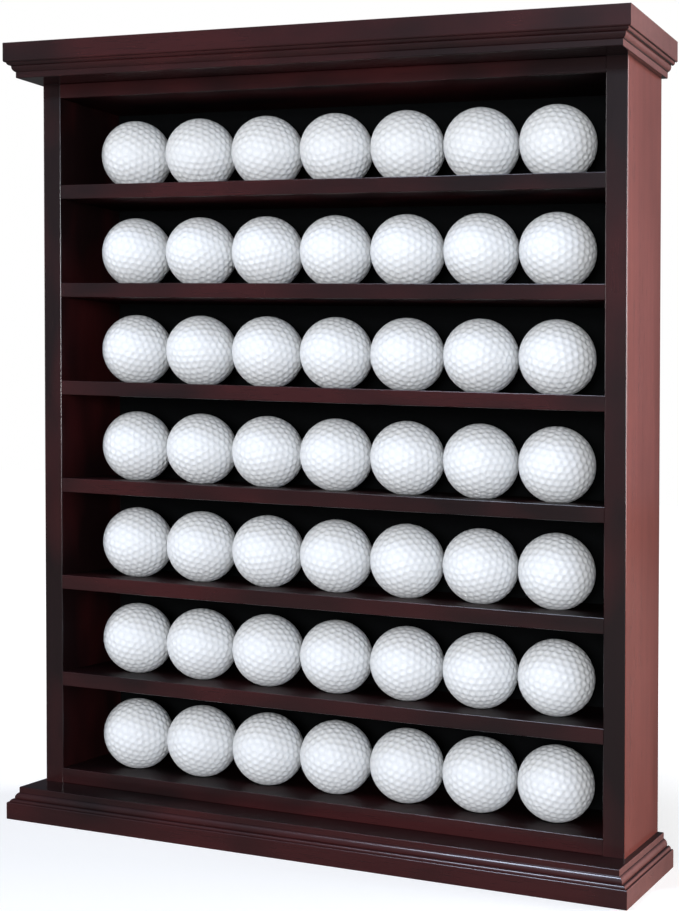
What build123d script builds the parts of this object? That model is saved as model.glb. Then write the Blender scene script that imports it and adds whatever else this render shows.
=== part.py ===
"""Open wooden display case for golf balls. Millimetres, +Z up, the open front faces -Y.

Two sides, a floor, a top and six shelves make a carcass. It stands on a base board and carries a
crown board, and both boards have the same routed edge round the front and the two ends. The floor
and the shelves have shallow dished seats, with one ball in each. A thin back panel, lined with
felt, closes the rear.

The origin is in the middle of the case's footprint, on the surface that it stands on.
"""

import os
from math import sqrt

from build123d import *

# Balls, and the seats that they rest in
BALL_DIAMETER = 42.67  # the least that the rules of the game allow
BALLS_IN_ROW = 7
ROWS = 7
BALL_GAP = 1.63  # between two neighbours in a row
SEAT_RADIUS = 40.0  # of the sphere that the dish is cut with
SEAT_DEPTH = 1.5
SEAT_CLEARANCE = 0.2  # under a ball, at the bottom of its seat

# Room that is left round the balls
END_ROOM = 13.8
FRONT_ROOM = 9.3
REAR_ROOM = 14.7
HEAD_ROOM = 8.8
TOP_HEAD_ROOM = 10.4  # the top row has a little more

# Carcass
SIDE_THICKNESS = 12.0
SHELF_THICKNESS = 8.5
FLOOR_THICKNESS = 9.0
TOP_THICKNESS = 8.5
BACK_THICKNESS = 3.0
FELT_THICKNESS = 1.0
EASED_EDGE = 0.5  # radius on the front edges and on the ledges

# Joinery: stopped housings for the shelves, and a rabbet for the back
HOUSING_DEPTH = 3.5
HOUSING_STOP = 8.0
HOUSING_CLEARANCE = 0.2
RABBET_WIDTH = 6.0
BACK_CLEARANCE = 0.25
FELT_CLEARANCE = 0.2

# Base and crown boards, and the edge that is routed on both
FRONT_OVERHANG = 29.0
SIDE_OVERHANG = 9.0
BASE_FASCIA = 9.3
CROWN_FASCIA = 10.4
FASCIA_ROUND = 0.9
QUIRK_WIDTH = 0.5
QUIRK_DEPTH = 0.5
BEAD = 1.7
OVOLO_WIDTH = 1.9
OVOLO_HEIGHT = 3.6
FILLET_HEIGHT = 3.4

# Countersunk wood screws
BASE_SCREW_HEAD = 7.0
BASE_SCREW_SHANK = 3.5
BASE_SCREW_LENGTH = 35.0
BASE_SCREW_INSET = 14.0  # from the front and the back of the sides
BACK_SCREW_HEAD = 5.0
BACK_SCREW_SHANK = 2.5
BACK_SCREW_LENGTH = 14.0
BACK_SCREWS_ACROSS = 2
ROWS_PER_BACK_SCREW = 2  # up each side, one screw for so many rows
SCREW_CLEARANCE = 0.05
RECESS_WIDTH = 0.6  # of one arm of the cross in a screw head

# Dowels between the sides and the crown
DOWEL_DIAMETER = 5.0
DOWEL_IN_SIDE = 18.0
DOWEL_IN_CROWN = 11.0
DOWEL_CLEARANCE = 0.05
DOWEL_END_CLEARANCE = 0.5
DOWEL_INSET = 16.0

# Sawtooth hangers, let into the back edge of the crown
HANGER_LENGTH = 42.0
HANGER_HEIGHT = 9.0
HANGER_THICKNESS = 0.8
HANGER_BOW = 1.2  # how far its middle stands off, for the head of a wall hook
HANGER_FOOT = 8.0  # flat length at each end
HANGER_SLOPE = 3.0
HANGER_INSET = 60.0  # from the outer face of a side to the middle of its hanger
TOOTH_PITCH = 2.5
TOOTH_HEIGHT = 1.4
TEETH = 7
HANGER_MARGIN = 1.0  # between a hanger and the sides of its recess
NAIL_HEAD_DIAMETER = 3.6
NAIL_HEAD_HEIGHT = 0.6
NAIL_DIAMETER = 1.4
NAIL_LENGTH = 12.0
NAIL_CLEARANCE = 0.05

# Sizes that follow
ball_radius = BALL_DIAMETER / 2
ball_pitch = BALL_DIAMETER + BALL_GAP
ball_height = ball_radius - SEAT_DEPTH + SEAT_CLEARANCE  # centre above the shelf
row_height = ball_height + ball_radius

clear_width = (BALLS_IN_ROW - 1) * ball_pitch + BALL_DIAMETER + 2 * END_ROOM
shelf_depth = FRONT_ROOM + BALL_DIAMETER + REAR_ROOM
carcass_depth = shelf_depth + FELT_THICKNESS + BACK_THICKNESS
carcass_width = clear_width + 2 * SIDE_THICKNESS

edge_height = FASCIA_ROUND + BEAD + OVOLO_HEIGHT + FILLET_HEIGHT
edge_depth = FASCIA_ROUND + BEAD + OVOLO_WIDTH + 2 * QUIRK_WIDTH
base_thickness = BASE_FASCIA + edge_height
crown_thickness = CROWN_FASCIA + edge_height

front_y = (FRONT_OVERHANG - carcass_depth) / 2
back_y = front_y + carcass_depth
shelf_back_y = front_y + shelf_depth
panel_front_y = back_y - BACK_THICKNESS
ball_y = front_y + FRONT_ROOM + ball_radius

shelf_pitch = row_height + HEAD_ROOM + SHELF_THICKNESS
seat_tops = [base_thickness + FLOOR_THICKNESS + row * shelf_pitch for row in range(ROWS)]
opening_top = seat_tops[-1] + row_height + TOP_HEAD_ROOM
soffit_z = opening_top + TOP_THICKNESS
case_height = soffit_z + crown_thickness

ball_places = [(n - (BALLS_IN_ROW - 1) / 2) * ball_pitch for n in range(BALLS_IN_ROW)]
fixing_x = clear_width / 2 + (HOUSING_DEPTH + SIDE_THICKNESS) / 2  # middle of the full wood

base_screw = (BASE_SCREW_HEAD, BASE_SCREW_SHANK, BASE_SCREW_LENGTH)
back_screw = (BACK_SCREW_HEAD, BACK_SCREW_SHANK, BACK_SCREW_LENGTH)


def block(x, y, z):
    """A box between two corners, each axis given as (low, high)."""
    size = [high - low for low, high in (x, y, z)]
    middle = tuple((low + high) / 2 for low, high in (x, y, z))
    return Pos(*middle) * Box(*size)


def group(solids):
    """Separate solids that share one node."""
    return Compound(children=list(solids))


# Base and crown


def routed_waste(fascia, face_height):
    """The wood that the cutter takes off an edge, as a face.

    The first coordinate runs inwards from the board's outer face, the second away from the face
    that keeps its full size. The waste starts at the top of the fascia and ends on the ledge.
    """
    lines = []
    at = [0.0, fascia]

    def straight(inwards, up):
        start = tuple(at)
        at[0] += inwards
        at[1] += up
        lines.append(Line(start, tuple(at)))

    def rounded(width, height):
        start = tuple(at)
        middle = (at[0] + width * (1 - sqrt(0.5)), at[1] + height * sqrt(0.5))
        at[0] += width
        at[1] += height
        lines.append(ThreePointArc(start, middle, tuple(at)))

    def quirk():
        straight(0, -QUIRK_DEPTH)
        straight(QUIRK_WIDTH, 0)
        straight(0, QUIRK_DEPTH)

    rounded(FASCIA_ROUND, FASCIA_ROUND)
    quirk()
    rounded(BEAD, BEAD)
    quirk()
    rounded(OVOLO_WIDTH, OVOLO_HEIGHT)
    straight(0, FILLET_HEIGHT - EASED_EDGE)
    rounded(EASED_EDGE, EASED_EDGE)
    beyond = face_height + EASED_EDGE
    outside = -EASED_EDGE
    corners = [tuple(at), (at[0], beyond), (outside, beyond), (outside, fascia), (0, fascia)]
    lines += [Line(a, b) for a, b in zip(corners, corners[1:])]
    return make_face(lines)


def moulded_board(fascia):
    """A board with its routed edge upwards, its full face on z = 0 and its back on back_y."""
    thickness = fascia + edge_height
    outer_x = carcass_width / 2 + SIDE_OVERHANG
    outer_y = front_y - FRONT_OVERHANG
    board = block((-outer_x, outer_x), (outer_y, back_y), (0, thickness))
    run_out = back_y + edge_depth
    path = Polyline(
        (-outer_x, run_out, 0), (-outer_x, outer_y, 0), (outer_x, outer_y, 0), (outer_x, run_out, 0)
    )
    start = Plane(origin=(-outer_x, run_out, 0), x_dir=(1, 0, 0), z_dir=(0, -1, 0))
    waste = sweep(start * routed_waste(fascia, thickness), path=path, transition=Transition.RIGHT)
    return board - waste


def base_screw_places():
    """Where the base screws stand, as (x, y)."""
    depths = (front_y + BASE_SCREW_INSET, back_y - BASE_SCREW_INSET)
    return [(side * fixing_x, y) for side in (-1, 1) for y in depths]


def dowel_places():
    """Where the crown dowels stand, as (x, y)."""
    depths = (front_y + DOWEL_INSET, back_y - DOWEL_INSET)
    return [(side * fixing_x, y) for side in (-1, 1) for y in depths]


def make_base_board():
    """The board that the case stands on, with countersunk holes from below."""
    board = moulded_board(BASE_FASCIA)
    for x, y in base_screw_places():
        board -= Pos(x, y, 0) * screw_hole(*base_screw)
    return board


def make_crown_board():
    """The same edge upside down, with blind dowel holes and the recesses of the hangers."""
    board = Pos(0, 0, case_height) * mirror(moulded_board(CROWN_FASCIA), about=Plane.XY)
    for x, y in dowel_places():
        board -= Pos(x, y, soffit_z) * dowel_hole(DOWEL_IN_CROWN, upwards=1)
    for x in hanger_places():
        board -= hanger_recess(x)
        for place in nail_places(x):
            board -= place * nail(NAIL_CLEARANCE)
    return board


# Carcass


def eased_face(low, high, corners):
    """A rectangle whose corners on the low side of one axis are rounded."""
    width, height = high[0] - low[0], high[1] - low[1]
    face = Pos((low[0] + high[0]) / 2, (low[1] + high[1]) / 2) * Rectangle(width, height)
    edge = face.vertices().sort_by(corners)[:2]
    return fillet(edge, EASED_EDGE)


def panel(bottom, thickness):
    """A shelf, floor or top: eased front edges, and tongues that fill the housings."""
    section = eased_face((front_y, bottom), (shelf_back_y, bottom + thickness), Axis.X)
    board = extrude(Plane.YZ * section, amount=clear_width / 2, both=True)
    reach = clear_width / 2 + HOUSING_DEPTH - HOUSING_CLEARANCE
    tongues = block(
        (-reach, reach), (front_y + HOUSING_STOP, shelf_back_y), (bottom, bottom + thickness)
    )
    return board + tongues


def seated_panel(top, thickness):
    """A panel with a dished seat for each ball of its row."""
    board = panel(top - thickness, thickness)
    for x in ball_places:
        board -= Pos(x, ball_y, top - SEAT_DEPTH + SEAT_RADIUS) * Sphere(SEAT_RADIUS)
    return board


def make_right_side():
    """The right side: front edges eased, housings inside, a rabbet at the back."""
    inner, outer = clear_width / 2, carcass_width / 2
    section = eased_face((inner, front_y), (outer, back_y), Axis.Y)
    side = Pos(0, 0, base_thickness) * extrude(section, amount=soffit_z - base_thickness)
    side -= block((inner, inner + RABBET_WIDTH), (panel_front_y, back_y), (base_thickness, soffit_z))
    levels = [(top - SHELF_THICKNESS, top) for top in seat_tops[1:]]
    levels += [(base_thickness, seat_tops[0]), (opening_top, soffit_z)]
    for level in levels:
        run = (front_y + HOUSING_STOP, panel_front_y)
        side -= block((inner, inner + HOUSING_DEPTH), run, level)
    for x, y in base_screw_places():
        side -= Pos(x, y, 0) * screw_hole(*base_screw)
    for x, y in dowel_places():
        side -= Pos(x, y, soffit_z) * dowel_hole(DOWEL_IN_SIDE, upwards=-1)
    for place in back_screw_places():
        side -= place * screw_hole(*back_screw)
    return side


def make_floor_panel():
    """The floor, which is the seat of the bottom row."""
    board = seated_panel(seat_tops[0], FLOOR_THICKNESS)
    for place in back_screw_places():
        board -= place * screw_hole(*back_screw)
    return board


def make_top_panel():
    """The panel under the crown."""
    board = panel(opening_top, TOP_THICKNESS)
    for place in back_screw_places():
        board -= place * screw_hole(*back_screw)
    return board


def make_back_panel():
    """The thin panel that closes the rear, in the rabbets of the sides."""
    reach = clear_width / 2 + RABBET_WIDTH - BACK_CLEARANCE
    board = block((-reach, reach), (panel_front_y, back_y), (base_thickness, soffit_z))
    for place in back_screw_places():
        board -= place * screw_hole(*back_screw)
    return board


def make_felt_lining():
    """The felt between the shelves and the back panel."""
    reach = clear_width / 2 - FELT_CLEARANCE
    sheet = block((-reach, reach), (shelf_back_y, panel_front_y), (base_thickness, soffit_z))
    for place in back_screw_places():
        sheet -= place * screw_hole(*back_screw)
    return sheet


# Screws and dowels


def screw_body(head, shank, length, extra=0.0):
    """A countersunk screw with its head's face on z = 0 and its point upwards."""
    cone = (head - shank) / 2
    body = Cone(head / 2 + extra, shank / 2 + extra, cone, align=(Align.CENTER, Align.CENTER, Align.MIN))
    straight = length - cone - shank
    body += Pos(0, 0, cone) * Cylinder(
        shank / 2 + extra, straight, align=(Align.CENTER, Align.CENTER, Align.MIN)
    )
    tip = Cone(shank / 2 + extra, extra, shank, align=(Align.CENTER, Align.CENTER, Align.MIN))
    return body + Pos(0, 0, cone + straight) * tip


def wood_screw(head, shank, length):
    """The screw with a cross recess in its head."""
    recess = block((-head / 4, head / 4), (-RECESS_WIDTH / 2, RECESS_WIDTH / 2), (0, shank / 3))
    return screw_body(head, shank, length) - recess - Rot(0, 0, 90) * recess


def screw_hole(head, shank, length):
    """What a screw takes out of the wood."""
    return screw_body(head, shank, length, SCREW_CLEARANCE)


def back_screw_places():
    """Where the back screws stand: down both sides, and across the top and the floor."""
    side_x = clear_width / 2 + RABBET_WIDTH / 2
    heights = [top + row_height / 2 for top in seat_tops[::ROWS_PER_BACK_SCREW]]
    places = [(side * side_x, z) for side in (-1, 1) for z in heights]
    step = clear_width / BACK_SCREWS_ACROSS
    for z in (base_thickness + FLOOR_THICKNESS / 2, opening_top + TOP_THICKNESS / 2):
        places += [((n + 0.5) * step - clear_width / 2, z) for n in range(BACK_SCREWS_ACROSS)]
    return [Pos(x, back_y, z) * Rot(90, 0, 0) for x, z in places]


def dowel_hole(depth, upwards):
    """A blind hole for a dowel, from z = 0 up or down."""
    length = depth + DOWEL_END_CLEARANCE
    radius = DOWEL_DIAMETER / 2 + DOWEL_CLEARANCE
    return Pos(0, 0, upwards * length / 2) * Cylinder(radius, length)


def make_crown_dowels():
    """Four dowels between the sides and the crown."""
    length = DOWEL_IN_SIDE + DOWEL_IN_CROWN
    middle = soffit_z + (DOWEL_IN_CROWN - DOWEL_IN_SIDE) / 2
    return group(Pos(x, y, middle) * Cylinder(DOWEL_DIAMETER / 2, length) for x, y in dowel_places())


# Sawtooth hangers


def hanger_places():
    """The x of the two hangers."""
    reach = carcass_width / 2 - HANGER_INSET
    return (-reach, reach)


def hanger_floor_y():
    """The flat bottom of a hanger's recess: the metal then stays inside the back edge."""
    return back_y - HANGER_BOW - HANGER_THICKNESS - HANGER_MARGIN / 2


def hanger_z():
    """The middle of the crown's back edge."""
    return soffit_z + crown_thickness / 2


def hanger_recess(x):
    """The shallow pocket for one hanger."""
    half = HANGER_LENGTH / 2 + HANGER_MARGIN
    rise = HANGER_HEIGHT / 2 + HANGER_MARGIN
    z = hanger_z()
    return block((x - half, x + half), (hanger_floor_y(), back_y), (z - rise, z + rise))


def nail_places(x):
    """Where the two nails of a hanger stand."""
    reach = HANGER_LENGTH / 2 - HANGER_FOOT / 2
    head_y = hanger_floor_y() + HANGER_THICKNESS
    return [Pos(x + side * reach, head_y, hanger_z()) * Rot(90, 0, 0) for side in (-1, 1)]


def nail(extra=0.0):
    """A nail with the underside of its head on z = 0 and its shank upwards."""
    shank = Pos(0, 0, NAIL_LENGTH / 2) * Cylinder(NAIL_DIAMETER / 2 + extra, NAIL_LENGTH)
    head = Pos(0, 0, -NAIL_HEAD_HEIGHT / 2) * Cylinder(NAIL_HEAD_DIAMETER / 2, NAIL_HEAD_HEIGHT)
    return shank + head


def make_hanger(x):
    """A steel strip, bowed out in the middle, with teeth along its lower edge."""
    foot, slope = HANGER_LENGTH / 2 - HANGER_FOOT, HANGER_LENGTH / 2 - HANGER_FOOT - HANGER_SLOPE
    inner = [(-HANGER_LENGTH / 2, 0), (-foot, 0), (-slope, HANGER_BOW)]
    inner += [(-u, v) for u, v in reversed(inner)]
    outer = [(u, v + HANGER_THICKNESS) for u, v in reversed(inner)]
    strip = extrude(make_face(Polyline(*inner, *outer, close=True)), amount=HANGER_HEIGHT)
    for n in range(TEETH):
        u = (n - (TEETH - 1) / 2) * TOOTH_PITCH
        notch = make_face(
            Polyline((u - TOOTH_PITCH / 2, 0), (u, TOOTH_HEIGHT), (u + TOOTH_PITCH / 2, 0), close=True)
        )
        strip -= extrude(Plane.XZ * notch, amount=HANGER_LENGTH, both=True)
    strip = Pos(x, hanger_floor_y(), hanger_z() - HANGER_HEIGHT / 2) * strip
    for place in nail_places(x):
        strip -= place * nail(NAIL_CLEARANCE)
    return strip


# Balls


def make_ball_row(row):
    """One row of balls, each a solid of its own, in the seats of its shelf."""
    z = seat_tops[row] + ball_height
    return group(Pos(x, ball_y, z) * Sphere(ball_radius) for x in ball_places)


def make_nodes():
    """Every piece of the case, by name."""
    right_side = make_right_side()
    nodes = {
        "base_board": make_base_board(),
        "crown_board": make_crown_board(),
        "left_side": mirror(right_side, about=Plane.YZ),
        "right_side": right_side,
        "floor_panel": make_floor_panel(),
        "top_panel": make_top_panel(),
        "back_panel": make_back_panel(),
        "felt_lining": make_felt_lining(),
        "base_screws": group(Pos(x, y, 0) * wood_screw(*base_screw) for x, y in base_screw_places()),
        "back_screws": group(place * wood_screw(*back_screw) for place in back_screw_places()),
        "crown_dowels": make_crown_dowels(),
        "left_hanger": make_hanger(hanger_places()[0]),
        "right_hanger": make_hanger(hanger_places()[1]),
        "hanger_nails": group(place * nail() for x in hanger_places() for place in nail_places(x)),
    }
    for row in range(1, ROWS):
        nodes[f"shelf_{row}"] = seated_panel(seat_tops[row], SHELF_THICKNESS)
    for row in range(ROWS):
        nodes[f"ball_row_{row + 1}"] = make_ball_row(row)
    return nodes


os.makedirs("parts", exist_ok=True)
for name, shape in make_nodes().items():
    shape.label = name
    export_step(shape, f"parts/{name}.step")
print("case", round(carcass_width + 2 * SIDE_OVERHANG, 2), "wide", round(case_height, 2), "high")
print("seats at", [round(top, 2) for top in seat_tops], "soffit", round(soffit_z, 2))
print("front", round(front_y, 2), "back", round(back_y, 2), "balls", round(ball_y, 2))
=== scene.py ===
# %% [markdown]
# # A display case for golf balls
#
# The object is an open wooden case with seven rows of seven golf balls. The boards, screws and
# hangers come from a CAD model at their real size. Blender adds what CAD leaves plain: the stained
# and lacquered wood, the dimples of the balls, the felt, and a small white studio to see them in.
#
# Everything is in metres, and the case stands on z = 0 with its open front towards -Y.

# %% Load the CAD model
from math import cos, pi, radians, sin

import bmesh
import bpy
import numpy as np
from mathutils import Matrix, Vector


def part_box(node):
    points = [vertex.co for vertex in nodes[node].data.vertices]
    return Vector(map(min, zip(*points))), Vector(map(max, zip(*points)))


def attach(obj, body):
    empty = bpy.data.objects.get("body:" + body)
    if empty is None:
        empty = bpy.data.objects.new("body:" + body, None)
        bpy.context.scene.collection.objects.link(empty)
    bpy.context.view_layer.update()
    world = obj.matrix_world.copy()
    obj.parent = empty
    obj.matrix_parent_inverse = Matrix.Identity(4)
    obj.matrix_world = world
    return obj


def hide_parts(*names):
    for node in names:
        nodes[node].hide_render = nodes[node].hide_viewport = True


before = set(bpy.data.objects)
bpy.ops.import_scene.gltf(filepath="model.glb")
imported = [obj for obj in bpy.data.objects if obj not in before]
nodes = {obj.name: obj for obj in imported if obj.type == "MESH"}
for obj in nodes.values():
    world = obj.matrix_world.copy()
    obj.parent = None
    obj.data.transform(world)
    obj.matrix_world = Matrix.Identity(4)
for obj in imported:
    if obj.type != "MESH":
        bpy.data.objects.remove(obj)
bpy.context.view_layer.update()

MM = 0.001

# %% [markdown]
# ## Helpers
#
# Colours are easiest to read off a screen as sRGB hex, but Blender's shaders work in linear light.
# One function makes the change, so no colour is converted by hand.


# %% Colours
def linear(colour):
    """An sRGB colour such as "#7f3a2b" as linear red, green, blue and an alpha of 1."""
    parts = [int(colour[i : i + 2], 16) / 255 for i in (1, 3, 5)]
    return [p / 12.92 if p <= 0.04045 else ((p + 0.055) / 1.055) ** 2.4 for p in parts] + [1.0]


print("mahogany red", [round(c, 3) for c in linear("#4a1f1f")])

# %% [markdown]
# A node tree can be built with long lists of new nodes and links. One small function that adds a
# node, sets its properties and fills or links its inputs keeps each tree as short as its idea. The
# last three are for the nodes that come up most, and give the node's output.


# %% Nodes
def empty_tree(owner):
    """The node tree of a material or world, switched on and empty."""
    owner.use_nodes = True
    owner.node_tree.nodes.clear()
    return owner.node_tree


def add(tree, kind, inputs=None, **settings):
    """A new node. inputs gives, by socket name or number, a value or another node's output."""
    node = tree.nodes.new(kind)
    for name, value in settings.items():
        setattr(node, name, value)
    for socket, value in (inputs or {}).items():
        if isinstance(value, bpy.types.NodeSocket):
            tree.links.new(value, node.inputs[socket])
        else:
            node.inputs[socket].default_value = value
    return node


def maths(tree, operation, *values):
    """One number made of others."""
    return add(tree, "ShaderNodeMath", dict(enumerate(values)), operation=operation).outputs[0]


def ramp(tree, value, start, end, low, high, **settings):
    """value from start to end, mapped to low to high and held there beyond."""
    inputs = {"Value": value, 1: start, 2: end, 3: low, 4: high}
    return add(tree, "ShaderNodeMapRange", inputs, **settings).outputs[0]


def blend(tree, share, one, other):
    """A colour between two, which are hex colours or outputs of other nodes."""
    pair = [linear(c) if isinstance(c, str) else c for c in (one, other)]
    inputs = {0: share, 6: pair[0], 7: pair[1]}
    return add(tree, "ShaderNodeMix", inputs, data_type="RGBA").outputs[2]


print("helpers: empty_tree, add, maths, ramp, blend")

# %% [markdown]
# ## The camera
#
# The photograph was taken from the right of the case, at the height of its middle. A camera could
# be placed by eye, but a case is all straight lines, and the eye sees at once when they don't run
# the right way. So its place was worked out from the corners of the case and the outlines of the
# balls, and is written here as a place, a heading and a pitch.
#
# The picture was straightened after it was taken. Its upright edges are upright, and its level ones
# all drop to the right a little more than a lens would draw them. A camera can be turned but not
# sheared. The matrix between it and a parent can, so the camera stands on an empty, its tripod, and
# that matrix holds the lean.

# %% Camera
IMAGE_HEIGHT = 911
SENSOR_MM = 36.0

camera_place = Vector((424.0, -933.6, 253.3)) * MM
HEADING = radians(24.11)  # to the left of +Y
PITCH = radians(1.63)  # below level
FOCAL_PIXELS = 1782.7
LEAN = 0.0322  # drop of a level line across the picture, for each unit to the right

forward = Vector((-sin(HEADING) * cos(PITCH), cos(HEADING) * cos(PITCH), -sin(PITCH)))
right = Vector((cos(HEADING), sin(HEADING), 0))
up = right.cross(forward)

camera_data = bpy.data.cameras.new("camera")
camera_data.sensor_fit = "VERTICAL"
camera_data.sensor_height = SENSOR_MM
camera_data.lens = FOCAL_PIXELS / IMAGE_HEIGHT * SENSOR_MM

camera = bpy.data.objects.new("camera", camera_data)
tripod = bpy.data.objects.new("tripod", None)
turn = Matrix((right, up, -forward)).transposed()
stand = Matrix.Translation(camera_place) @ turn.to_4x4()
lean = Matrix.Identity(4)
lean[1][0] = LEAN
camera.matrix_world = stand
camera.parent = tripod
camera.matrix_parent_inverse = stand @ lean @ stand.inverted()
for thing in (tripod, camera):
    bpy.context.scene.collection.objects.link(thing)
bpy.context.scene.camera = camera
print("lens", round(camera_data.lens, 2), "mm at", tuple(round(c, 3) for c in camera_place))

# %% [markdown]
# ## The studio
#
# The photograph shows the case cut out on pure white. White paper behind it would have to be lit
# very brightly, and that light would wash out the dark wood. So the world is white only for rays
# that come straight from the camera. Glossy rays see a dim, cool room that brightens towards its
# windows, high up at the front right, and everything else gets a low, even light of the same tint.

# %% World
AMBIENT = 0.04
ROOM_LOW, ROOM_HIGH = 0.15, 0.95  # what gloss sees, away from the windows and towards them
ROOM_TINT = "#dfe5f8"
WINDOWS = (0.6, -0.5, 0.6)  # the way to them
IN_SIGHT = (0.32, 0.68)  # dot product of that way and a ray that sees none, and all of them

world = bpy.data.worlds.new("studio")
tree = empty_tree(world)
direction = add(tree, "ShaderNodeTexCoord").outputs["Generated"]
towards = add(tree, "ShaderNodeVectorMath", {0: direction, 1: WINDOWS}, operation="DOT_PRODUCT")
towards = towards.outputs["Value"]
room = ramp(tree, towards, *IN_SIGHT, ROOM_LOW, ROOM_HIGH, interpolation_type="SMOOTHSTEP")
ray = add(tree, "ShaderNodeLightPath").outputs
shiny = maths(tree, "MAXIMUM", ray["Is Glossy Ray"], ray["Is Transmission Ray"])
unseen = add(tree, "ShaderNodeMix", {0: shiny, 2: AMBIENT, 3: room}).outputs[0]
strength = add(tree, "ShaderNodeMix", {0: ray["Is Camera Ray"], 2: unseen, 3: 1.0}).outputs[0]
tint = blend(tree, ray["Is Camera Ray"], ROOM_TINT, "#ffffff")
sky = add(tree, "ShaderNodeBackground", {"Color": tint, "Strength": strength})
add(tree, "ShaderNodeOutputWorld", {"Surface": sky.outputs[0]})
bpy.context.scene.world = world
bpy.context.scene.view_settings.view_transform = "Standard"
print("world: ambient", AMBIENT, "and white behind")

# %% [markdown]
# The floor is a sheet of white paper. A plain white surface turns grey wherever less light falls,
# which would draw a horizon. So away from the case the paper glows white for rays from the camera.
# Close to the case it glows less, and the lamps add the rest, so the case's shadow can fall on it.
# Glossy rays see it much dimmer, so that the lacquer on the low boards doesn't turn milky.

# %% Floor
FLOOR_SIZE = 8.0
GLOW_NEAR, GLOW_FAR = 0.60, 1.0
SHADOW_NEAR, SHADOW_FAR = 0.20, 0.70  # metres from the middle at which the glow reaches them
GLOW_IN_GLOSS = 0.05  # what glossy rays see of it
PAPER, PAPER_IN_GLOSS = "#c8c8c8", "#585858"

half = FLOOR_SIZE / 2
corners = [(-half, -half, 0), (half, -half, 0), (half, half, 0), (-half, half, 0)]
floor_mesh = bpy.data.meshes.new("paper_floor")
floor_mesh.from_pydata(corners, [], [(0, 1, 2, 3)])
floor = bpy.data.objects.new("paper_floor", floor_mesh)
bpy.context.scene.collection.objects.link(floor)

paper = bpy.data.materials.new("white_paper")
tree = empty_tree(paper)
place = add(tree, "ShaderNodeTexCoord").outputs["Object"]
away = add(tree, "ShaderNodeVectorMath", {0: place}, operation="LENGTH").outputs["Value"]
fade = ramp(
    tree, away, SHADOW_NEAR, SHADOW_FAR, GLOW_NEAR, GLOW_FAR, interpolation_type="SMOOTHSTEP"
)
ray = add(tree, "ShaderNodeLightPath").outputs
seen = maths(tree, "MAXIMUM", ray["Is Camera Ray"], ray["Is Transmission Ray"])
in_gloss = maths(tree, "MULTIPLY", ray["Is Glossy Ray"], GLOW_IN_GLOSS)
glow_strength = maths(tree, "MULTIPLY_ADD", seen, fade, in_gloss)
shade = blend(tree, ray["Is Glossy Ray"], PAPER, PAPER_IN_GLOSS)
lit = add(tree, "ShaderNodeBsdfDiffuse", {"Color": shade})
glow = add(tree, "ShaderNodeEmission", {"Strength": glow_strength})
both = add(tree, "ShaderNodeAddShader", {0: lit.outputs[0], 1: glow.outputs[0]})
add(tree, "ShaderNodeOutputMaterial", {"Surface": both.outputs[0]})
floor_mesh.materials.append(paper)
print("floor", FLOOR_SIZE, "m across")

# %% [markdown]
# Five softboxes light the case. The front one does most of the work: it fills the open front, from
# close to the camera, so the balls are white and the walls of their dimples still shade. A weak
# bluish one further right keeps the right sides of the balls from going black, and one on the far
# left draws a bright rim on their left sides. A tall, narrow, bluish one hangs above. It draws the
# streaks on the mouldings, and leaves the upper wall of each dimple darker than the lower. The last
# stands behind on the right, where it can't reach into the case, and lights only the outer side.
#
# The strength of each is given as the level of light that it brings to the middle of the case. At
# a level of 1, a white surface that faces the lamp renders as white.


# %% Softboxes
AIM = Vector((0, 0, 230 * MM))
WHITE, COOL = "#ffffff", "#d8e6ff"


def softbox(name, heading, height, distance, width, tall, level, colour=WHITE):
    """A softbox aimed at the case. heading is from the front (-Y) to the right, in degrees."""
    h, e = radians(heading), radians(height)
    place = AIM + distance * Vector((sin(h) * cos(e), -cos(h) * cos(e), sin(e)))
    data = bpy.data.lights.new(name, "AREA")
    data.shape = "RECTANGLE"
    data.size, data.size_y = width, tall
    data.energy = level * (pi * distance) ** 2  # watts
    data.color = linear(colour)[:3]
    lamp = bpy.data.objects.new(name, data)
    look = (AIM - place).to_track_quat("-Z", "Y")
    lamp.matrix_world = Matrix.Translation(place) @ look.to_matrix().to_4x4()
    bpy.context.scene.collection.objects.link(lamp)
    print(name, "at", [round(c, 2) for c in place], round(data.energy, 1), "W")


softbox("front_softbox", 15, height=4, distance=2.3, width=0.6, tall=0.5, level=0.71)
softbox("right_softbox", 50, height=9, distance=2.3, width=0.5, tall=0.5, level=0.08, colour=COOL)
softbox("left_softbox", -60, height=10, distance=2.3, width=0.5, tall=0.7, level=0.24)
softbox("strip_softbox", -27, height=60, distance=1.45, width=0.2, tall=0.8, level=0.5, colour=COOL)
softbox("side_softbox", 122, height=12, distance=2.2, width=1.4, tall=1.4, level=1.2)

# %% [markdown]
# ## The wood
#
# The boards are stained a very dark mahogany red and sprayed with satin lacquer. The stain sits
# unevenly: it is nearly black in places, and in others the red of the wood comes through in soft
# patches a few centimetres across. Along the board run fine pores, and the lacquer over them has
# the faint ripple that spraying leaves.
#
# A photograph of wood would show its grain too, but it would have to be wrapped round every board.
# Noise that is stretched along the grain works inside the whole volume, so the pattern meets itself
# at the corners as it does in real wood, and it needs nothing but the point's place in space.

# %% Wood sizes, in millimetres
PATCH_MM = 48.0  # width of a patch where the stain is thinner
PATCH_STRETCH = 2.0
BAND_MM = 7.0  # width of a growth band
BAND_STRETCH = 22.0
PORE_MM = 0.9  # real pores are about 0.2 wide, which would not show
PORE_STRETCH = 16.0
RIPPLE_MM = 5.0  # of the sprayed lacquer


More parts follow.
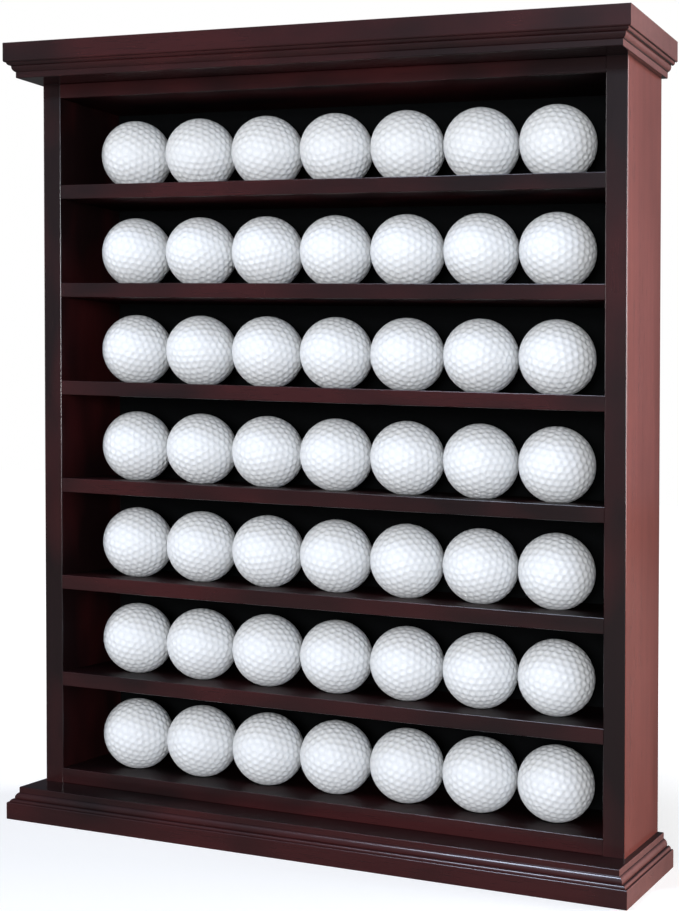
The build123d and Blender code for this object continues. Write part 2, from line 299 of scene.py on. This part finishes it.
def wood_noise(tree, place, width_mm, stretch, grain_axis, detail=2.0):
    """Noise whose grains are width_mm wide, and longer by stretch along one axis."""
    scale = [1 / (width_mm * MM)] * 3
    scale[grain_axis] /= stretch
    at = add(tree, "ShaderNodeMapping", {"Vector": place, "Scale": scale})
    noise = add(
        tree,
        "ShaderNodeTexNoise",
        {"Vector": at.outputs[0], "Scale": 1.0, "Detail": detail, "Roughness": 0.55},
    )
    return noise.outputs[0]


print("pores", PORE_MM, "mm wide and", PORE_MM * PORE_STRETCH, "mm long")

# %% [markdown]
# The finish isn't the same all over a board. The material tells the places apart by where they are
# and which way they face.
#
# - The outer faces of the sides, and the ends of the base and crown, are painted lighter, and
#   lightest near their front edge. A little of that is a lighter stain, and most is painted light
#   from the side. They are furthest from the middle, and their normal is along X.
# - A face that lies up is painted darker, as painted shade, and the lacquer sank in there.
# - The spray hardly reached the inside, so the shelves have only a thin coat behind their front
#   edge, and mirror little of the balls. The crown kept most of it off what is right under it.

# %% Places on a board
side_low, side_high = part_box("right_side")
FRONT, REAR, OUTER_FACE = side_low.y, side_high.y, side_high.x
TOP_PANEL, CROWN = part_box("top_panel")[0].z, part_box("crown_board")[0].z


def places_on_board(tree, at, facing):
    """Three shares from 0 to 1: on an outer face, inside the case, and level with the top panel."""
    sideways = maths(tree, "ABSOLUTE", at["X"])
    outside = ramp(tree, sideways, OUTER_FACE - 1 * MM, OUTER_FACE - 0.5 * MM, 0.0, 1.0)
    turned = ramp(tree, maths(tree, "ABSOLUTE", facing["X"]), 0.4, 0.8, 0.0, 1.0)
    on_face = maths(tree, "MULTIPLY", outside, turned)
    behind_front = ramp(tree, at["Y"], FRONT + 0.6 * MM, FRONT + 1.2 * MM, 0.0, 1.0)
    within = maths(tree, "MULTIPLY", behind_front, maths(tree, "SUBTRACT", 1.0, outside))
    over_opening = ramp(tree, at["Z"], TOP_PANEL - 2 * MM, TOP_PANEL + 2 * MM, 0.0, 1.0)
    below_crown = ramp(tree, at["Z"], CROWN - 0.2 * MM, CROWN - 0.1 * MM, 1.0, 0.0)
    return on_face, within, maths(tree, "MULTIPLY", over_opening, below_crown)


print("front at", round(FRONT, 4), "m, outer face at", round(OUTER_FACE, 4), "m")

# %% Stain
REDDER_MIDDLE, DARKER_ENDS = 0.06, -0.07  # shift of the patches along the case's width
REDDER_LOW = 0.12  # and at the bottom
THIN_START, THIN_FULL = 0.38, 0.66  # noise at which the red comes through
LYING_SHADE = 0.42  # share of the colour left on a face that lies up: painted shade
BAND_SHADE = (0.91, 1.09)
PORE_SHADE = 0.84


def stain(tree, at, sideways, patches, dark, red):
    """The colour on all but the outer faces: patches, redder mid-case and low down, darker at the
    ends.
    """
    across = ramp(tree, sideways, 40 * MM, OUTER_FACE, REDDER_MIDDLE, DARKER_ENDS)
    low_down = ramp(tree, at["Z"], 10 * MM, 30 * MM, REDDER_LOW, 0.0)
    thinned = maths(tree, "ADD", maths(tree, "ADD", patches, across), low_down)
    return blend(tree, ramp(tree, thinned, THIN_START, THIN_FULL, 0.0, 1.0), dark, red)


# The share printed here is painted shade on faces that lie up.
print("stain on lying faces at", LYING_SHADE)

# %% Lacquer
COAT_FRONT = 0.9  # least coat on the front edges, where 1 is a full coat
COAT_REAR = 0.45  # on an outer face, at its rear edge
COAT_LYING = 0.35  # on a face that lies up
COAT_INSIDE = 0.12
SHELTERED = 0.75  # share of the coat that the crown kept off


def coat(tree, near_front, lying, on_face, within, under_crown):
    """How much lacquer there is, from the shares that say where a point is."""
    on_side = ramp(tree, near_front, 0.3, 1.1, COAT_REAR, 1.0)
    full = maths(tree, "MAXIMUM", on_side, ramp(tree, on_face, 0.0, 1.0, COAT_FRONT, 0.0))
    sunk = maths(tree, "MULTIPLY", full, ramp(tree, lying, LYING_SHADE, 1.0, COAT_LYING, 1.0))
    kept = maths(tree, "SUBTRACT", 1.0, maths(tree, "MULTIPLY", under_crown, SHELTERED))
    outer = maths(tree, "MULTIPLY", sunk, maths(tree, "MAXIMUM", kept, on_face))
    return maths(tree, "MINIMUM", ramp(tree, within, 0.0, 1.0, 1.0, COAT_INSIDE), outer)


print("lacquer inside at", COAT_INSIDE)


# %% Stained mahogany with satin lacquer
def stained_mahogany(name, grain_axis, dark, red, lit_face_dark, lit_face_red):
    """The finish of a board whose grain runs along an axis: 0 is X, 1 is Y and 2 is Z."""
    material = bpy.data.materials.new(name)
    tree = empty_tree(material)
    coordinates = add(tree, "ShaderNodeTexCoord").outputs
    place = coordinates["Object"]
    at = add(tree, "ShaderNodeSeparateXYZ", {0: place}).outputs
    facing = add(tree, "ShaderNodeSeparateXYZ", {0: coordinates["Normal"]}).outputs
    on_face, within, under_crown = places_on_board(tree, at, facing)

    patches = wood_noise(tree, place, PATCH_MM, PATCH_STRETCH, grain_axis)
    bands = wood_noise(tree, place, BAND_MM, BAND_STRETCH, grain_axis, detail=3.0)
    pores = wood_noise(tree, place, PORE_MM, PORE_STRETCH, grain_axis, detail=1.0)
    ripple = wood_noise(tree, place, RIPPLE_MM, 1.0, grain_axis, detail=0.0)

    near_front = maths(tree, "ADD", ramp(tree, at["Y"], FRONT, REAR, 0.75, 0.0), patches)
    edges = stain(tree, at, maths(tree, "ABSOLUTE", at["X"]), patches, dark, red)
    # The outer faces take painted light from the side: lighter colours, lightest at the front edge.
    faces = blend(tree, ramp(tree, near_front, 0.35, 1.3, 0.0, 1.0), lit_face_dark, lit_face_red)
    # lying darkens faces that lie up as painted shade, and also thins their lacquer.
    lying = ramp(tree, facing["Z"], 0.7, 0.95, 1.0, LYING_SHADE)
    shade = ramp(tree, bands, 0.3, 0.7, *BAND_SHADE)
    pore_shade = ramp(tree, pores, 0.56, 0.72, 1.0, PORE_SHADE)
    # depth scales the colour by the grain's bands and pores, and by that painted shade.
    depth = maths(tree, "MULTIPLY", lying, maths(tree, "MULTIPLY", shade, pore_shade))
    inputs = {0: blend(tree, on_face, edges, faces), "Scale": depth}
    colour = add(tree, "ShaderNodeVectorMath", inputs, operation="SCALE").outputs[0]

    inputs = {"Height": pore_shade, "Strength": 0.08, "Distance": 0.1 * MM}
    grooves = add(tree, "ShaderNodeBump", inputs).outputs[0]
    inputs = {"Height": ripple, "Strength": 0.10, "Distance": 0.1 * MM, "Normal": grooves}
    skin = add(tree, "ShaderNodeBump", inputs).outputs[0]
    surface = add(
        tree,
        "ShaderNodeBsdfPrincipled",
        {
            "Base Color": colour,
            "Roughness": 0.6,
            "Specular IOR Level": 0.05,
            "Coat Weight": coat(tree, near_front, lying, on_face, within, under_crown),
            "Coat Roughness": 0.17,
            "Coat IOR": 1.6,
            "Coat Normal": skin,
        },
    )
    add(tree, "ShaderNodeOutputMaterial", {"Surface": surface.outputs[0]})
    return material


ALONG_X, ALONG_Z = 0, 2
EDGE_DARK, EDGE_RED = "#180a0b", "#371314"
# The colours of the outer faces and ends are painted lighter: a little lighter stain, mostly
# painted light.
LIT_END_DARK, LIT_END_RED = "#653c38", "#85504a"
LIT_FACE_DARK, LIT_FACE_RED = "#5f2922", "#8a4339"
lying_wood = stained_mahogany(
    "satin_lacquered_mahogany_lying", ALONG_X, EDGE_DARK, EDGE_RED, LIT_END_DARK, LIT_END_RED
)
standing_wood = stained_mahogany(
    "satin_lacquered_mahogany_standing", ALONG_Z, EDGE_DARK, EDGE_RED, LIT_FACE_DARK, LIT_FACE_RED
)
print("wood:", lying_wood.name, standing_wood.name)

# %% [markdown]
# ## Board, felt, steel and beech
#
# These are plain materials on small or hidden pieces, and the same noise serves them. The back is
# a thin hardboard with a dark painted face. The felt is black wool whose fibres swallow the light,
# so it has next to no gloss. Screws are zinc-plated steel, the hangers are brass-plated and bright,
# and the dowels are raw beech.


# %% Plain materials
def plain(name, colour, other, grain_mm, roughness, bump_mm=0.0, **shader):
    """A material with two close colours in a fine noise, and bump from the same noise."""
    material = bpy.data.materials.new(name)
    tree = empty_tree(material)
    place = add(tree, "ShaderNodeTexCoord").outputs["Object"]
    grain = wood_noise(tree, place, grain_mm, 1.0, 0, detail=3.0)
    inputs = {"Base Color": blend(tree, grain, colour, other), "Roughness": roughness}
    inputs.update({key.replace("_", " "): value for key, value in shader.items()})
    if bump_mm:
        relief = {"Height": grain, "Strength": 0.6, "Distance": bump_mm * MM}
        inputs["Normal"] = add(tree, "ShaderNodeBump", relief).outputs[0]
    surface = add(tree, "ShaderNodeBsdfPrincipled", inputs)
    add(tree, "ShaderNodeOutputMaterial", {"Surface": surface.outputs[0]})
    return material


hardboard = plain("black_painted_hardboard", "#171415", "#211c1c", 1.2, 0.65, bump_mm=0.08)
felt = plain(
    "black_wool_felt", "#030405", "#08090a", 0.7, 1.0, bump_mm=0.25, Specular_IOR_Level=0.1
)
zinc = plain("zinc_plated_steel", "#b9bcc0", "#a3a7ad", 0.8, 0.34, Metallic=1.0)
brass = plain("brass_plated_steel", "#c9a65a", "#b8944a", 0.8, 0.3, Metallic=1.0)
beech = plain("raw_beech", "#c9a173", "#b98f62", 1.5, 0.7)

lying_boards = ["base_board", "crown_board", "floor_panel", "top_panel"]
lying_boards += [name for name in nodes if name.startswith("shelf_")]
finishes = {name: lying_wood for name in lying_boards}
finishes.update({"left_side": standing_wood, "right_side": standing_wood, "back_panel": hardboard})
finishes.update({"base_screws": zinc, "back_screws": zinc, "crown_dowels": beech})
finishes.update({"left_hanger": brass, "right_hanger": brass, "hanger_nails": brass})
finishes["felt_lining"] = felt
for name, material in finishes.items():
    for slot in nodes[name].material_slots:
        slot.material = material
print(len(finishes), "CAD nodes finished")

# %% [markdown]
# ## The felt
#
# The lining is a sheet of wool felt, glued to the back panel. CAD has it as a flat slab. Real felt
# is cut with a soft edge, and the glue doesn't pull it quite flat: it keeps low swells a few
# centimetres across. So the sheet is two grids of points. The back one lies flat on the panel, and
# the front one swells by a few tenths of a millimetre and rounds off at the rim.

# %% Felt lining
CELL = 4 * MM
SWELL = 0.3 * MM
SWELL_WIDTHS = (71 * MM, 43 * MM)
RIM = 2.5 * MM  # over which the cut edge rounds off
RIM_LOSS = 0.6  # share of the thickness that the rounding takes at the edge

felt_low, felt_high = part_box("felt_lining")
felt_size = felt_high - felt_low
across, upwards = int(felt_size.x / CELL), int(felt_size.z / CELL)
sheet = bmesh.new()
layers = []
for front in (True, False):
    layer = []
    for k in range(upwards + 1):
        for i in range(across + 1):
            x = felt_low.x + felt_size.x * i / across
            z = felt_low.z + felt_size.z * k / upwards
            inset = min(x - felt_low.x, felt_high.x - x, z - felt_low.z, felt_high.z - z)
            rounded = RIM_LOSS * (1 - min(1, inset / RIM)) ** 2
            wave = sin(2 * pi * (x / SWELL_WIDTHS[0] + 0.3 * z / SWELL_WIDTHS[1]))
            wave *= cos(2 * pi * (z / SWELL_WIDTHS[1] - 0.2 * x / SWELL_WIDTHS[0]))
            sunk = SWELL * (1 - wave) / 2 + rounded * felt_size.y
            layer.append(sheet.verts.new((x, felt_low.y + sunk if front else felt_high.y, z)))
    layers.append(layer)
row_length = across + 1
for k in range(upwards):
    for i in range(across):
        corner = k * row_length + i
        square = (corner, corner + 1, corner + 1 + row_length, corner + row_length)
        sheet.faces.new([layers[0][n] for n in square])
        sheet.faces.new([layers[1][n] for n in reversed(square)])
rims = [edge for edge in sheet.edges if edge.is_boundary]
bmesh.ops.bridge_loops(sheet, edges=rims)
bmesh.ops.recalc_face_normals(sheet, faces=sheet.faces)
felt_mesh = bpy.data.meshes.new("felt_sheet")
sheet.to_mesh(felt_mesh)
sheet.free()
felt_mesh.materials.append(felt)
felt_mesh.shade_smooth()
felt_sheet = bpy.data.objects.new("felt_sheet", felt_mesh)
bpy.context.scene.collection.objects.link(felt_sheet)
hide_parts("felt_lining")
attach(felt_sheet, "case")
print("felt", [round(c / MM, 1) for c in felt_size], "mm,", len(felt_mesh.polygons), "faces")

# %% [markdown]
# ## The golf balls
#
# A golf ball is a moulded sphere of 42.67 mm with some hundreds of shallow round dimples, packed
# as evenly as a sphere allows. Its cover is a white plastic with a clear gloss coat.
#
# The dimples could be a bump in the material, but then the outline would stay a perfect circle, and
# the photograph shows it wavy against the black felt. So they are real dents. An icosahedron whose
# faces are each divided into triangles gives both patterns at once: six to an edge puts 362 points
# 4.3 mm apart, which are the centres of the dimples, and five times as many to an edge puts a mesh
# round each of them that is the same for all.


# %% Divide a sphere's triangles
DIMPLES_TO_EDGE = 6
MESH_TO_DIMPLE = 5


def divide(points, triangles, steps):
    """Each triangle in steps * steps parts, on a unit sphere, and each point's ring.

    A point's ring is how many steps it is from the nearest corner of the old triangles.
    """
    index, new_points, rings, new_triangles = {}, [], [], []

    def place(corners, i, j):
        shares = (steps - i - j, i, j)
        spot = sum(corner * share for corner, share in zip(corners, shares))
        spot = spot / np.linalg.norm(spot)
        key = tuple(np.round(spot, 5) + 0.0)
        if key not in index:
            index[key] = len(new_points)
            new_points.append(spot)
            rings.append(steps - max(shares))
        return index[key]

    for triangle in triangles:
        corners = [points[n] for n in triangle]
        for i in range(steps):
            for j in range(steps - i):
                edge = (place(corners, i + 1, j), place(corners, i, j + 1))
                new_triangles.append((place(corners, i, j), *edge))
                if i + j < steps - 1:
                    new_triangles.append((edge[0], place(corners, i + 1, j + 1), edge[1]))
    return np.array(new_points), new_triangles, rings


icosahedron = bmesh.new()
bmesh.ops.create_icosphere(icosahedron, subdivisions=1, radius=1.0)
corner_points = np.array([v.co for v in icosahedron.verts])
corner_faces = [[v.index for v in face.verts] for face in icosahedron.faces]
icosahedron.free()
dimple_points, dimple_faces, _ = divide(corner_points, corner_faces, DIMPLES_TO_EDGE)
print(len(dimple_points), "dimples")

# %% [markdown]
# Divided flat faces bulge unevenly on the sphere: the points in the middle of a face end up a
# fifth further apart than those near a corner. So the centres are let go, and push each other away
# along the sphere until they are even.

# %% Even out the dimples
ROUNDS = 80
PUSH = 0.03
even_spacing = (4 * pi / len(dimple_points) * 2 / 3**0.5) ** 0.5  # if all were hexagons

for _ in range(ROUNDS):
    apart = dimple_points[:, None] - dimple_points[None]
    squared = (apart**2).sum(2) + 4 * np.eye(len(dimple_points))  # no point pushes itself
    weight = (even_spacing**2 / squared) ** 3
    dimple_points = dimple_points + PUSH * (apart * weight[..., None]).sum(1)
    dimple_points /= np.linalg.norm(dimple_points, axis=1)[:, None]
ball_points, ball_faces, ball_rings = divide(dimple_points, dimple_faces, MESH_TO_DIMPLE)
closest = np.sqrt(squared.min(1)) / even_spacing
print("closest neighbour", round(closest.min(), 3), "to", round(closest.max(), 3), "of even")

# %% The plain ball
row_low, row_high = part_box("ball_row_1")
BALL_RADIUS = (row_high.z - row_low.z) / 2
BALLS_IN_ROW = 7
ball_pitch = (row_high.x - row_low.x - 2 * BALL_RADIUS) / (BALLS_IN_ROW - 1)
ball_mesh = bpy.data.meshes.new("plain_ball")
ball_mesh.from_pydata(ball_points * BALL_RADIUS, [], ball_faces)
ball_mesh.attributes.new("ring", "FLOAT", "POINT").data.foreach_set("value", ball_rings)
print("ball", len(ball_points), "points,", len(ball_faces), "triangles")

# %% [markdown]
# Geometry Nodes press the dimples in and lay out the row. The mesh has rings of points round each
# centre: the first ring is drawn to a little over half of the dimple's radius and the second to its
# rim, so every dimple is round and sharp. Points further out are land and stay. Each point then
# moves inwards by the depth of a round bowl, and the depth is kept for the cover's paint.


# %% Dimples
RIM_RING = 2  # the ring at the rim, counted from the centre at 0
FIRST_RING = 0.86  # power that puts the first ring at 0.55 of the radius, and not at 0.5
BOWL_POWER = 2.0  # 2 is a round bowl, and more has a flatter bottom and a steeper wall


def press_dimples(tree, given):
    """The given plain ball with its dimples, smooth."""
    ring = add(tree, "GeometryNodeInputNamedAttribute", {"Name": "ring"}, data_type="FLOAT")
    ring = ring.outputs[0]
    is_centre = add(tree, "FunctionNodeCompare", {0: ring, 1: 0.5}, operation="LESS_THAN")
    inputs = {0: ring, 1: RIM_RING + 0.5}
    is_land = add(tree, "FunctionNodeCompare", inputs, operation="GREATER_THAN")
    inputs = {0: given["Ball"], 1: is_centre.outputs[0]}
    centres = add(tree, "GeometryNodeSeparateGeometry", inputs, domain="POINT")
    nearest = add(tree, "GeometryNodeProximity", {0: centres.outputs[0]}, target_element="POINTS")
    centre, distance = nearest.outputs["Position"], nearest.outputs["Distance"]

    share = maths(tree, "POWER", maths(tree, "DIVIDE", ring, RIM_RING), FIRST_RING)
    circle = maths(tree, "MULTIPLY", share, given["Dimple radius"])
    inputs = {"Switch": is_land.outputs[0], "False": circle, "True": distance}
    reach = add(tree, "GeometryNodeSwitch", inputs, input_type="FLOAT").outputs[0]
    position = add(tree, "GeometryNodeInputPosition").outputs[0]
    away = add(tree, "ShaderNodeVectorMath", {0: position, 1: centre}, operation="SUBTRACT")
    unit = add(tree, "ShaderNodeVectorMath", {0: away.outputs[0]}, operation="NORMALIZE")
    inputs = {0: unit.outputs[0], "Scale": reach}
    moved = add(tree, "ShaderNodeVectorMath", inputs, operation="SCALE").outputs[0]
    drawn = add(tree, "ShaderNodeVectorMath", {0: centre, 1: moved}, operation="ADD")
    outwards = add(tree, "ShaderNodeVectorMath", {0: drawn.outputs[0]}, operation="NORMALIZE")

    wall = maths(tree, "POWER", share, BOWL_POWER)
    bowl = maths(tree, "MAXIMUM", maths(tree, "SUBTRACT", 1.0, wall), 0.0)
    dent = maths(tree, "MULTIPLY", bowl, given["Dimple depth"])
    height = maths(tree, "SUBTRACT", given["Ball radius"], dent)
    inputs = {0: outwards.outputs[0], "Scale": height}
    surface = add(tree, "ShaderNodeVectorMath", inputs, operation="SCALE").outputs[0]
    inputs = {0: given["Ball"], "Name": "dimple", "Value": bowl}
    kept = add(
        tree, "GeometryNodeStoreNamedAttribute", inputs, data_type="FLOAT", domain="POINT"
    )
    inputs = {"Geometry": kept.outputs[0], "Position": surface}
    dented = add(tree, "GeometryNodeSetPosition", inputs)
    return add(tree, "GeometryNodeSetShadeSmooth", {"Geometry": dented.outputs[0]}).outputs[0]


print("first ring at", round((1 / RIM_RING) ** FIRST_RING, 2), "of the dimple's radius")

# %% [markdown]
# The finished ball is put on a line of points, turned at random on each, as nobody lines up the
# pattern of real balls.


# %% The tree that makes a row of balls
def ball_row_tree():
    """Geometry Nodes: a plain ball comes in, and a row of dimpled balls goes out."""
    tree = bpy.data.node_groups.new("dimpled_ball_row", "GeometryNodeTree")
    face = tree.interface
    face.new_socket("Ball", in_out="INPUT", socket_type="NodeSocketGeometry")
    for name in ("Ball radius", "Dimple radius", "Dimple depth", "Pitch"):
        face.new_socket(name, in_out="INPUT", socket_type="NodeSocketFloat")
    face.new_socket("Balls", in_out="INPUT", socket_type="NodeSocketInt")
    face.new_socket("First ball", in_out="INPUT", socket_type="NodeSocketVector")
    face.new_socket("Seed", in_out="INPUT", socket_type="NodeSocketInt")
    face.new_socket("Cover", in_out="INPUT", socket_type="NodeSocketMaterial")
    face.new_socket("Row", in_out="OUTPUT", socket_type="NodeSocketGeometry")
    given = add(tree, "NodeGroupInput").outputs
    ball = press_dimples(tree, given)

    step = add(tree, "ShaderNodeCombineXYZ", {"X": given["Pitch"]}).outputs[0]
    inputs = {"Count": given["Balls"], "Start Location": given["First ball"], "Offset": step}
    line = add(tree, "GeometryNodeMeshLine", inputs).outputs[0]
    inputs = {0: (0.0, 0.0, 0.0), 1: (2 * pi, 2 * pi, 2 * pi), "Seed": given["Seed"]}
    turned = add(tree, "FunctionNodeRandomValue", inputs, data_type="FLOAT_VECTOR").outputs[0]
    inputs = {"Points": line, "Instance": ball, "Rotation": turned}
    placed = add(tree, "GeometryNodeInstanceOnPoints", inputs).outputs[0]
    real = add(tree, "GeometryNodeRealizeInstances", {0: placed}).outputs[0]
    inputs = {"Geometry": real, "Material": given["Cover"]}
    covered = add(tree, "GeometryNodeSetMaterial", inputs).outputs[0]
    add(tree, "NodeGroupOutput", {0: covered})
    return tree


row_tree = ball_row_tree()
row_inputs = {item.name: item.identifier for item in row_tree.interface.items_tree}
print("tree inputs", list(row_inputs))

# %% [markdown]
# The cover is a cast plastic, white with a breath of blue from the brightener in it, under a clear
# coat. Paint is a little thicker at the bottom of a dimple and thinner on its rim. The attribute
# that the tree stored says where that is.

# %% Ball cover
cover = bpy.data.materials.new("white_urethane_cover")
tree = empty_tree(cover)
dimple = add(tree, "ShaderNodeAttribute", attribute_name="dimple").outputs["Fac"]
plastic = add(
    tree,
    "ShaderNodeBsdfPrincipled",
    {
        "Base Color": blend(tree, dimple, "#e8ebee", "#eff1f3"),
        "Roughness": 0.6,
        "Coat Weight": 0.1,
        "Coat Roughness": 0.25,
    },
)
add(tree, "ShaderNodeOutputMaterial", {"Surface": plastic.outputs[0]})
print("cover:", cover.name)

# %% Make the seven rows
ROWS = 7
DIMPLE_RADIUS = 1.88 * MM  # just short of where the closest neighbours would run into each other
DIMPLE_DEPTH = 0.65 * MM  # real ones are about 0.25 deep, which would hardly show


def apply_nodes(obj, name):
    """The evaluated object as a plain mesh object, in place of the one with the modifier."""
    view = bpy.context.evaluated_depsgraph_get()
    mesh = bpy.data.meshes.new_from_object(obj.evaluated_get(view))
    mesh.name = name
    bpy.data.objects.remove(obj)
    piece = bpy.data.objects.new(name, mesh)
    bpy.context.scene.collection.objects.link(piece)
    return piece


for row in range(1, ROWS + 1):
    node = f"ball_row_{row}"
    low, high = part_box(node)
    start = (low.x + BALL_RADIUS, (low.y + high.y) / 2, (low.z + high.z) / 2)
    source = bpy.data.objects.new("source", ball_mesh)
    bpy.context.scene.collection.objects.link(source)
    nodes_modifier = source.modifiers.new("row", "NODES")
    nodes_modifier.node_group = row_tree
    values = {"Ball radius": BALL_RADIUS, "Pitch": ball_pitch}
    values.update({"Dimple radius": DIMPLE_RADIUS, "Dimple depth": DIMPLE_DEPTH})
    values.update({"Balls": BALLS_IN_ROW, "First ball": start, "Seed": row, "Cover": cover})
    for input_name, value in values.items():
        nodes_modifier[row_inputs[input_name]] = value
    piece = apply_nodes(source, f"dimpled_balls_{row}")
    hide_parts(node)
    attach(piece, node)
    print(piece.name, len(piece.data.polygons), "triangles")

# %% [markdown]

# %% Sizes
print("end of the scene")
